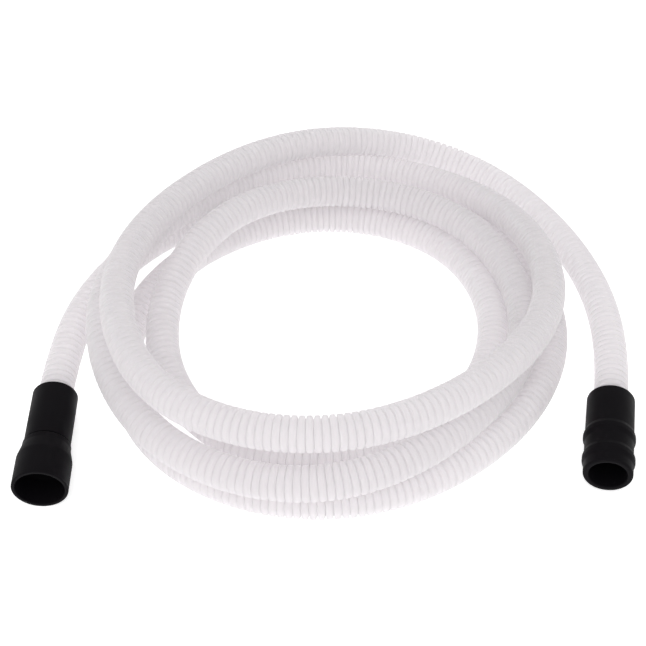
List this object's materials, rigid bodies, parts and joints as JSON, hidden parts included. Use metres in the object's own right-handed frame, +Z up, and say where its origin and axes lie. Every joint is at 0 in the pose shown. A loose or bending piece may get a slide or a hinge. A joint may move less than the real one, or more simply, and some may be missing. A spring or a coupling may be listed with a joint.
{
  "type": "drain hose",
  "caption": "Coiled corrugated drain hose with a moulded rubber bell cuff on one end and a ribbed rubber cuff on the other.",
  "frame": {"origin": "on the surface that the hose lies on, under the middle of the two cuffs", "axes": "+Z up, +X from the bell cuff to the ribbed cuff, +Y from the cuffs towards the coil"},
  "size_m": [0.3734, 0.3394, 0.0693],
  "materials": {
    "bell_rubber": "soft matte moulded black rubber",
    "ribbed_rubber": "soft matte moulded black rubber",
    "hose_plastic": "milky pale grey thin-walled corrugated plastic, slightly translucent"
  },
  "bodies": {
    "root": {"bell_cuff": "bell_rubber", "ribbed_cuff": "ribbed_rubber", "hose_coil": "hose_plastic", "hose_left_lead": "hose_plastic", "hose_right_lead": "hose_plastic"}
  },
  "joints": []
}
